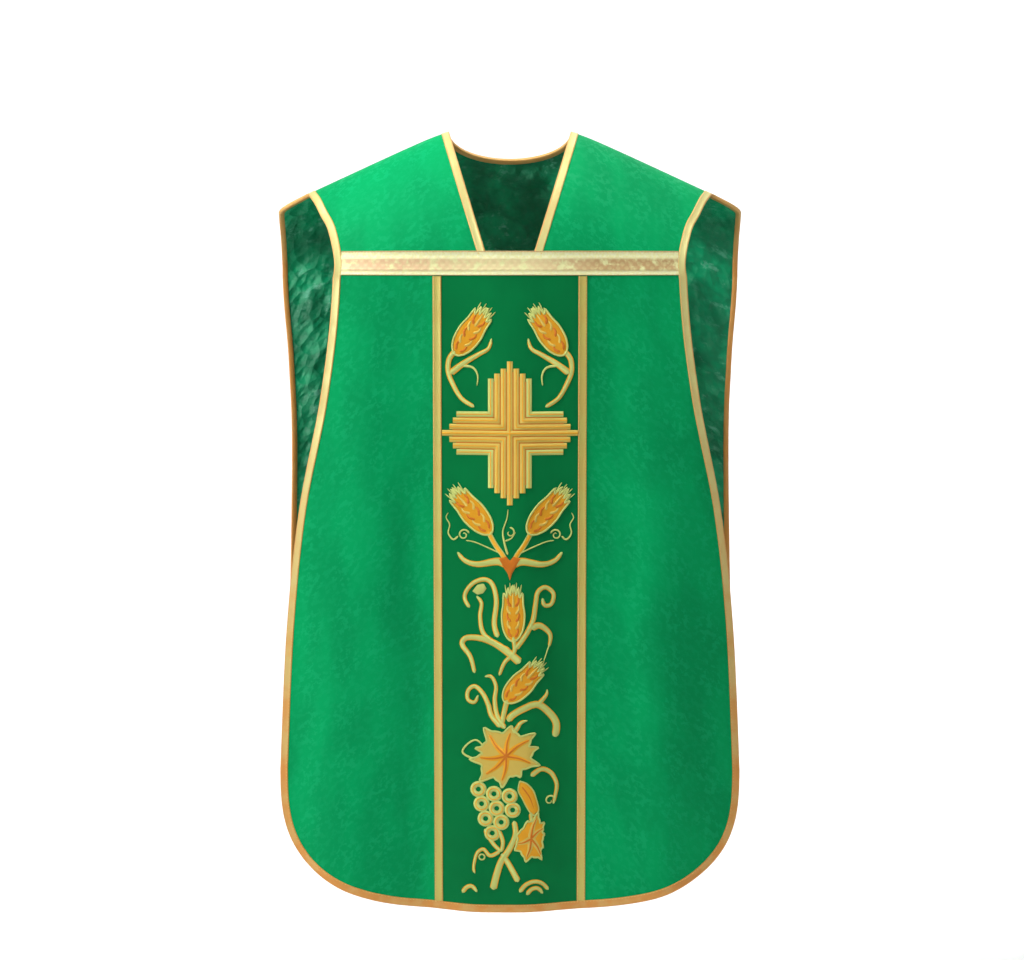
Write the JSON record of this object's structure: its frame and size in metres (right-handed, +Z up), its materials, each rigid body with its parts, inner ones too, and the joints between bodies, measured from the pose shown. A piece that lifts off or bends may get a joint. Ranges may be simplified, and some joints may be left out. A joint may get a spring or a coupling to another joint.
{
  "type": "chasuble",
  "caption": "Fiddleback chasuble in green damask, open at the sides, with gold bindings, a chest band and an embroidered column on front and back.",
  "frame": {"origin": "on the shoulder ridge beside the neck opening, midway between the shoulders", "axes": "+Z up, -Y the way the front faces, +X towards the wearer's left"},
  "size_m": [0.676, 0.2326, 1.1496],
  "materials": {
    "field_damask": "figured green damask with a satin sheen",
    "column_damask": "darker green satin ground with a fine figure",
    "lining": "dark green glossy acetate satin",
    "interlining": "plain stiff cotton canvas",
    "gold_braid": "narrow metallic gold galloon",
    "gold_binding": "metallic gold galloon folded over the edge",
    "wide_galloon": "wide pale gold galloon with woven borders",
    "gold_embroidery": "raised gold satin stitch with pale couched outlines"
  },
  "bodies": {
    "yoke": {"left_shoulder_cloth": "field_damask", "right_shoulder_cloth": "field_damask", "upper_back_left_cloth": "field_damask", "upper_back_right_cloth": "field_damask", "upper_back_column_cloth": "column_damask", "yoke_interlining": "interlining", "yoke_lining": "lining", "upper_back_left_braid": "gold_braid", "upper_back_right_braid": "gold_braid", "left_armhole_binding": "gold_binding", "right_armhole_binding": "gold_binding", "neck_binding": "gold_binding", "chest_band": "wide_galloon"},
    "front_panel": {"front_left_cloth": "field_damask", "front_right_cloth": "field_damask", "front_column_cloth": "column_damask", "front_interlining": "interlining", "front_lining": "lining", "front_left_braid": "gold_braid", "front_right_braid": "gold_braid", "front_edge_binding": "gold_binding", "front_cross": "gold_embroidery", "front_upper_left_ear": "gold_embroidery", "front_upper_right_ear": "gold_embroidery", "front_corn_spray": "gold_embroidery", "front_scroll_ear": "gold_embroidery", "front_leaning_ear": "gold_embroidery", "front_vine_leaf": "gold_embroidery", "front_grapes": "gold_embroidery", "front_small_leaf": "gold_embroidery"},
    "back_panel": {"back_left_cloth": "field_damask", "back_right_cloth": "field_damask", "back_column_cloth": "column_damask", "back_interlining": "interlining", "back_lining": "lining", "back_left_braid": "gold_braid", "back_right_braid": "gold_braid", "back_edge_binding": "gold_binding", "back_cross": "gold_embroidery", "back_upper_left_ear": "gold_embroidery", "back_upper_right_ear": "gold_embroidery", "back_corn_spray": "gold_embroidery", "back_scroll_ear": "gold_embroidery", "back_leaning_ear": "gold_embroidery", "back_vine_leaf": "gold_embroidery", "back_grapes": "gold_embroidery", "back_small_leaf": "gold_embroidery", "left_tie_tab": "lining", "right_tie_tab": "lining"}
  },
  "joints": [
    {"name": "front_swing", "type": "hinge", "parent": "yoke", "child": "front_panel", "pos_m": [0, -0.121, -0.209], "axis": [-1, 0, 0], "range_deg": [-3, 90]},
    {"name": "back_swing", "type": "hinge", "parent": "yoke", "child": "back_panel", "pos_m": [0, 0.115, -0.2065], "axis": [1, 0, 0], "range_deg": [-3, 90]}
  ]
}
